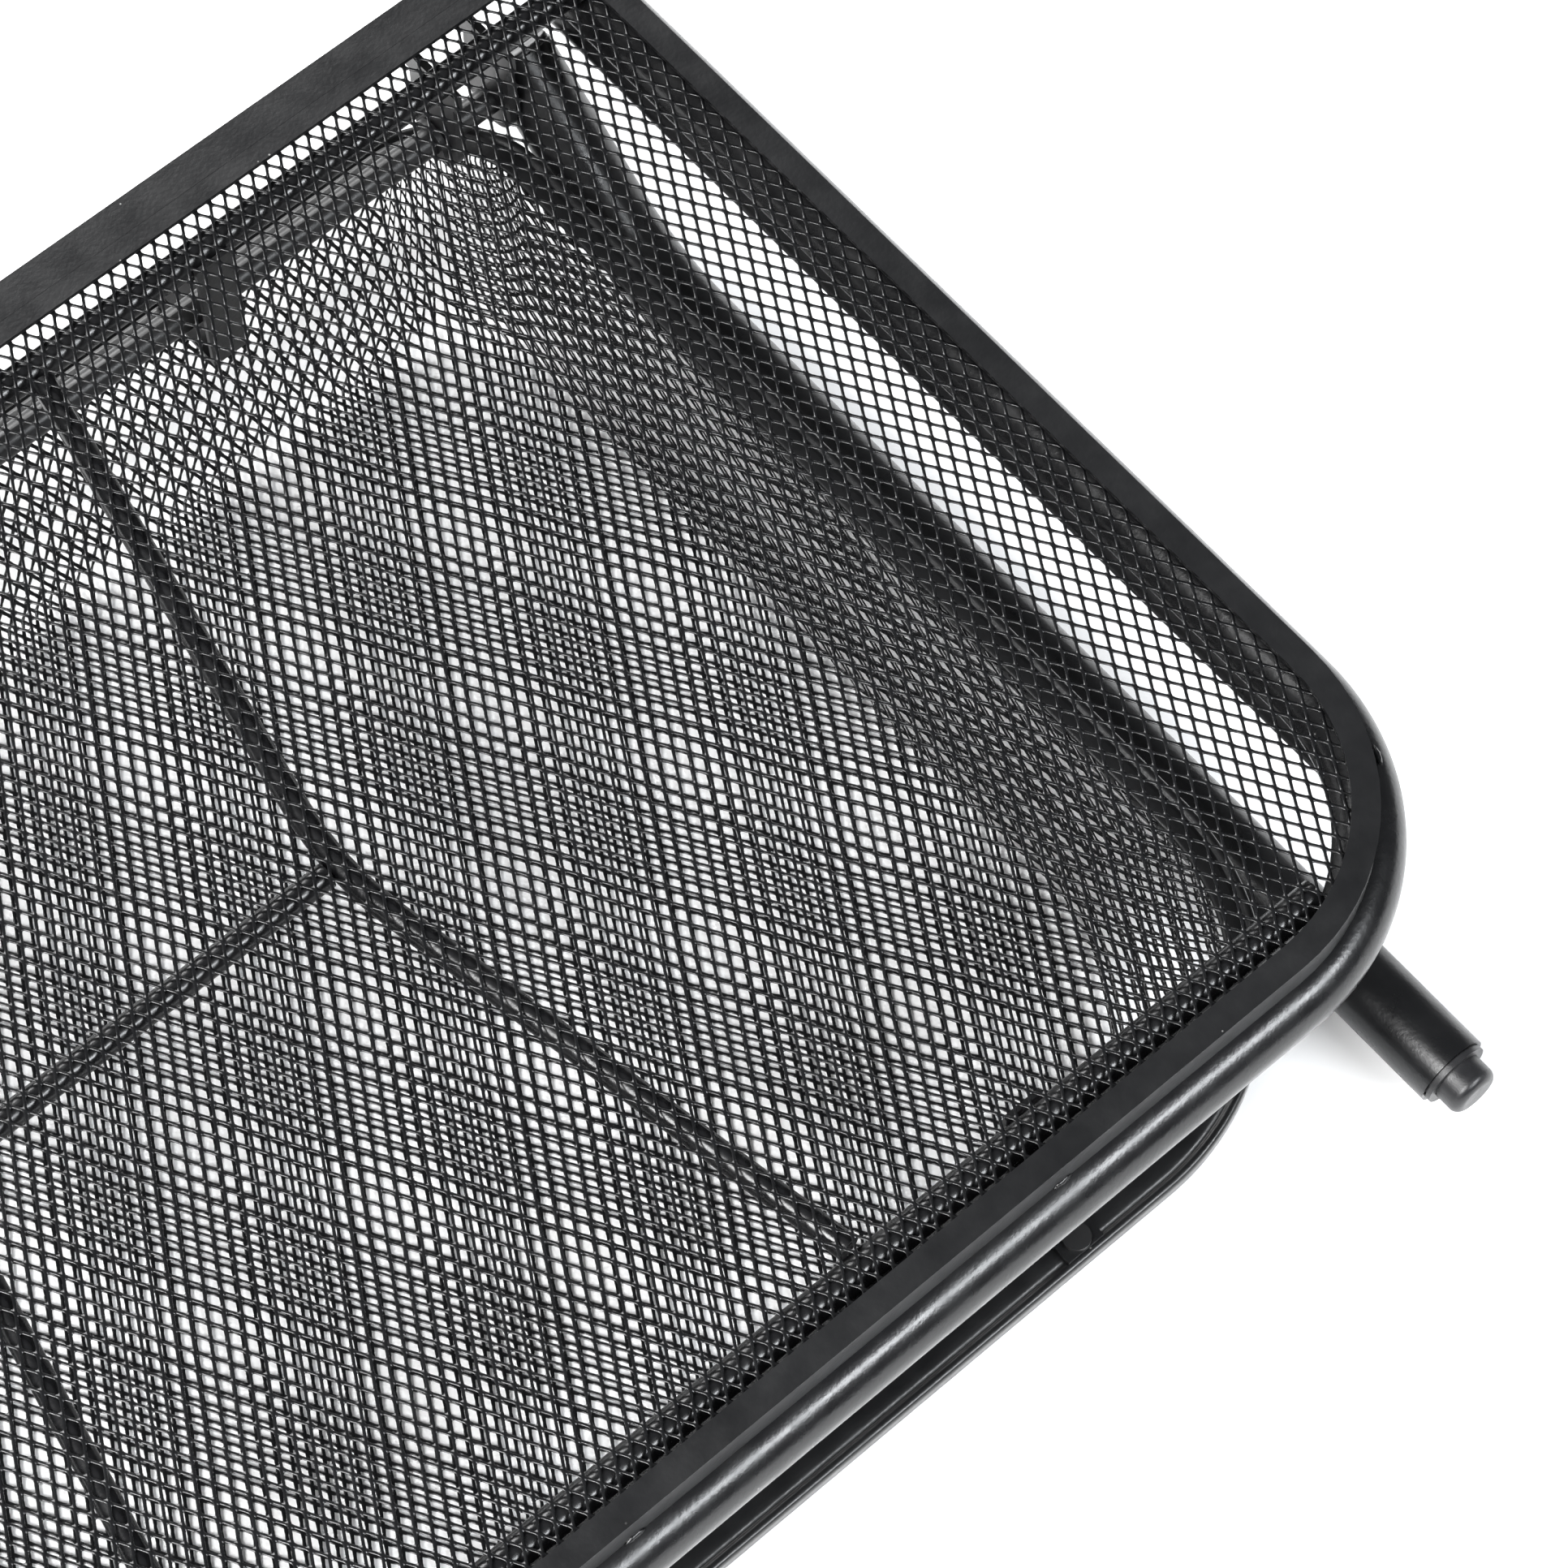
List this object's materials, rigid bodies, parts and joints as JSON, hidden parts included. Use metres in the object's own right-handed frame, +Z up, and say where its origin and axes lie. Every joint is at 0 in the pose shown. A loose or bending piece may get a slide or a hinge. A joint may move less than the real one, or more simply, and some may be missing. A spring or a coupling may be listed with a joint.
{
  "type": "folding side table",
  "caption": "Low folding side table with an expanded-mesh top, a mesh basket under it and two tubular leg frames folded beside the basket.",
  "frame": {"origin": "centre of the basket floor's underside, which the folded table rests on", "axes": "+X along the table top to its right short side, +Y to the back edge, +Z up out of the top"},
  "size_m": [0.498, 0.3751, 0.088],
  "materials": {
    "black_powder_coat": "smooth satin black powder coat",
    "black_mesh": "smooth satin black powder coat over expanded steel",
    "black_hardware": "black coated steel hardware",
    "black_plastic": "moulded black plastic, slightly shiny"
  },
  "bodies": {
    "table_top": {"back_hem": "black_powder_coat", "basket_mesh": "black_mesh", "basket_rim": "black_powder_coat", "brace_left": "black_powder_coat", "brace_right": "black_powder_coat", "brace_spine": "black_powder_coat", "crossbar_front": "black_powder_coat", "crossbar_rear": "black_powder_coat", "hanger_front_left": "black_powder_coat", "hanger_front_right": "black_powder_coat", "hanger_rear_left": "black_powder_coat", "hanger_rear_right": "black_powder_coat", "hanger_rivets": "black_hardware", "hinge_ear_inner_left": "black_powder_coat", "hinge_ear_inner_right": "black_powder_coat", "hinge_ear_outer_left": "black_powder_coat", "hinge_ear_outer_right": "black_powder_coat", "rim_plug_left": "black_plastic", "rim_plug_right": "black_plastic", "rim_tube": "black_powder_coat", "saddle_left": "black_powder_coat", "saddle_right": "black_powder_coat", "side_hem": "black_powder_coat", "top_mesh": "black_mesh"},
    "rear_legs": {"hinge_rod": "black_hardware", "rear_foot_left": "black_plastic", "rear_foot_right": "black_plastic", "rear_leg_cap_left": "black_plastic", "rear_leg_cap_right": "black_plastic", "rear_leg_left": "black_powder_coat", "rear_leg_right": "black_powder_coat", "rod_clips": "black_hardware"},
    "front_legs": {"front_foot_left": "black_plastic", "front_foot_right": "black_plastic", "front_leg_left": "black_powder_coat", "front_leg_right": "black_powder_coat", "front_spreader": "black_powder_coat"}
  },
  "joints": [
    {"name": "rear_legs_hinge", "type": "hinge", "parent": "table_top", "child": "rear_legs", "pos_m": [0, 0.14505, 0.052], "axis": [1, 0, 0], "range_deg": [0, 90]},
    {"name": "front_legs_hinge", "type": "hinge", "parent": "table_top", "child": "front_legs", "pos_m": [0, -0.14205, 0.058], "axis": [-1, 0, 0], "range_deg": [0, 100]}
  ]
}
